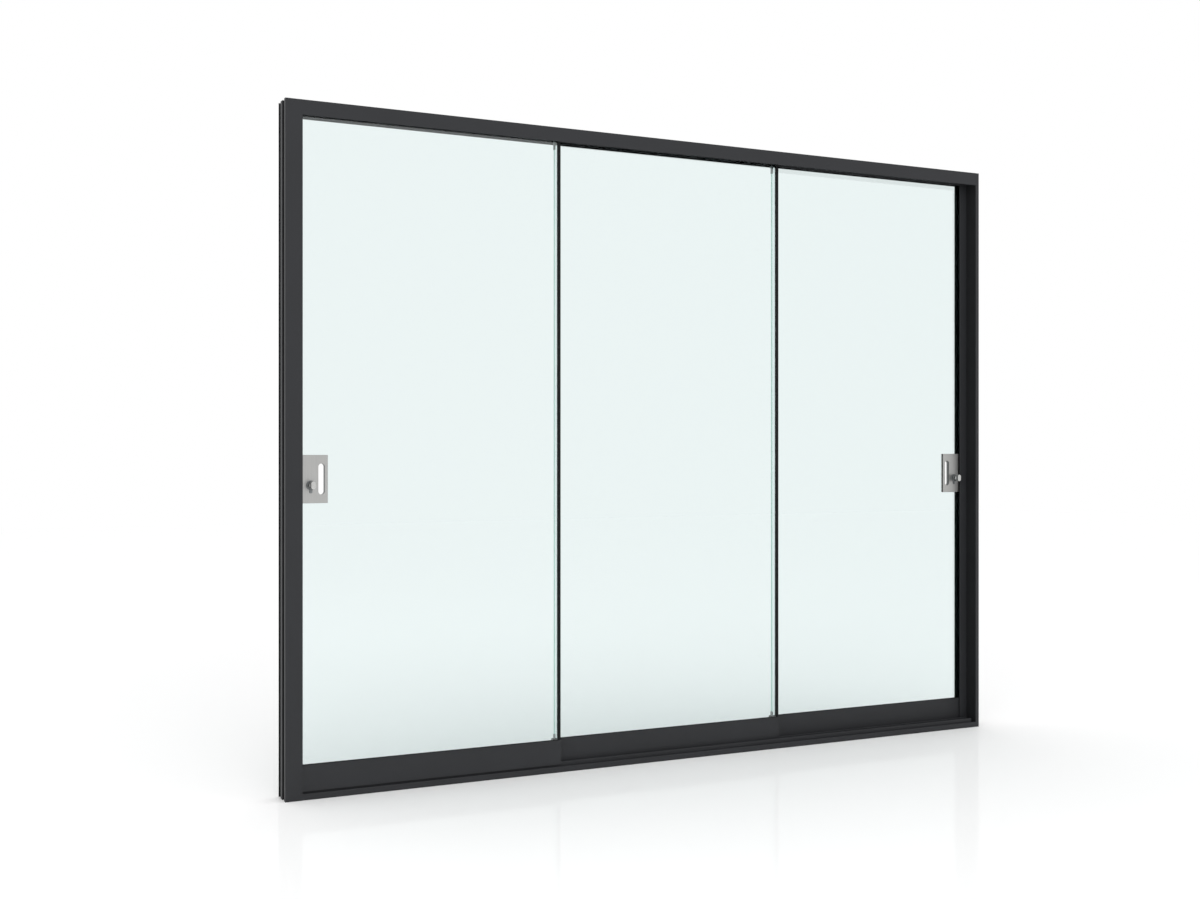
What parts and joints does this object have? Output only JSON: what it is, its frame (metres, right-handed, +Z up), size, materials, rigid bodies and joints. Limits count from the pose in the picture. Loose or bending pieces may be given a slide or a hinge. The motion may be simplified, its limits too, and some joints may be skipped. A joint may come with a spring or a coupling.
{
  "type": "glass sliding patio door",
  "caption": "Sliding glass patio door: clear panes on dark bottom rails run on stepped tracks in a slim aluminium frame, with a steel finger-pull lock at each end.",
  "frame": {"origin": "on the floor, on the sill's flat underside, in the middle of the frame's width and depth", "axes": "+X along the door towards the right jamb, +Y from the front to the back, +Z up"},
  "size_m": [3.035, 0.124, 2.4],
  "materials": {
    "coated_aluminium": "smooth black powder coat, satin gloss",
    "clear_glass": "clear toughened float glass with a faint green edge",
    "glazing_rubber": "matt black extruded rubber",
    "black_plastic": "matt black moulded plastic",
    "grey_plastic": "matt grey moulded plastic",
    "roller_nylon": "moulded nylon",
    "brushed_steel": "brushed stainless steel"
  },
  "bodies": {
    "frame": {"sill_plate": "coated_aluminium", "sill_front_lip": "coated_aluminium", "sill_rear_lip": "coated_aluminium", "front_runner": "coated_aluminium", "middle_runner": "coated_aluminium", "rear_runner": "coated_aluminium", "head_plate": "coated_aluminium", "head_front_fin": "coated_aluminium", "head_second_fin": "coated_aluminium", "head_third_fin": "coated_aluminium", "head_rear_fin": "coated_aluminium", "left_jamb": "coated_aluminium", "left_jamb_flange": "coated_aluminium", "left_jamb_fin": "coated_aluminium", "right_jamb": "coated_aluminium", "right_jamb_flange": "coated_aluminium", "right_jamb_fin": "coated_aluminium"},
    "left_leaf": {"left_leaf_glass": "clear_glass", "left_leaf_bottom_rail": "coated_aluminium", "left_leaf_glazing_gasket": "glazing_rubber", "left_leaf_rail_cap_left": "black_plastic", "left_leaf_rail_cap_right": "black_plastic", "left_leaf_roller_left": "roller_nylon", "left_leaf_roller_right": "roller_nylon", "left_leaf_edge_strip": "glazing_rubber", "left_lock_case": "brushed_steel", "left_lock_front_plate": "brushed_steel", "left_lock_back_plate": "brushed_steel", "left_lock_rosette": "brushed_steel"},
    "middle_leaf": {"middle_leaf_glass": "clear_glass", "middle_leaf_bottom_rail": "coated_aluminium", "middle_leaf_glazing_gasket": "glazing_rubber", "middle_leaf_rail_cap_left": "black_plastic", "middle_leaf_rail_cap_right": "black_plastic", "middle_leaf_roller_left": "roller_nylon", "middle_leaf_roller_right": "roller_nylon", "middle_leaf_edge_strip": "glazing_rubber", "middle_leaf_top_clip": "grey_plastic", "middle_leaf_bottom_clip": "grey_plastic"},
    "right_leaf": {"right_leaf_glass": "clear_glass", "right_leaf_bottom_rail": "coated_aluminium", "right_leaf_glazing_gasket": "glazing_rubber", "right_leaf_rail_cap_left": "black_plastic", "right_leaf_rail_cap_right": "black_plastic", "right_leaf_roller_left": "roller_nylon", "right_leaf_roller_right": "roller_nylon", "right_leaf_top_clip": "grey_plastic", "right_leaf_bottom_clip": "grey_plastic", "right_lock_case": "brushed_steel", "right_lock_front_plate": "brushed_steel", "right_lock_back_plate": "brushed_steel", "right_lock_rosette": "brushed_steel"},
    "left_thumb_turn": {"left_thumb_turn": "brushed_steel"},
    "right_thumb_turn": {"right_thumb_turn": "brushed_steel"}
  },
  "joints": [
    {"name": "left_leaf_slide", "type": "slide", "parent": "frame", "child": "left_leaf", "axis": [1, 0, 0], "range_m": [0, 1.973]},
    {"name": "middle_leaf_slide", "type": "slide", "parent": "frame", "child": "middle_leaf", "axis": [1, 0, 0], "range_m": [-0.9875, 0]},
    {"name": "right_leaf_slide", "type": "slide", "parent": "middle_leaf", "child": "right_leaf", "axis": [1, 0, 0], "range_m": [-0.905, 0]},
    {"name": "left_thumb_turn_hinge", "type": "hinge", "parent": "left_leaf", "child": "left_thumb_turn", "pos_m": [-1.4275, -0.039, 1.079], "axis": [0, 1, 0], "range_deg": [0, 90]},
    {"name": "right_thumb_turn_hinge", "type": "hinge", "parent": "right_leaf", "child": "right_thumb_turn", "pos_m": [1.438, 0.022, 1.079], "axis": [0, -1, 0], "range_deg": [0, 90]}
  ]
}
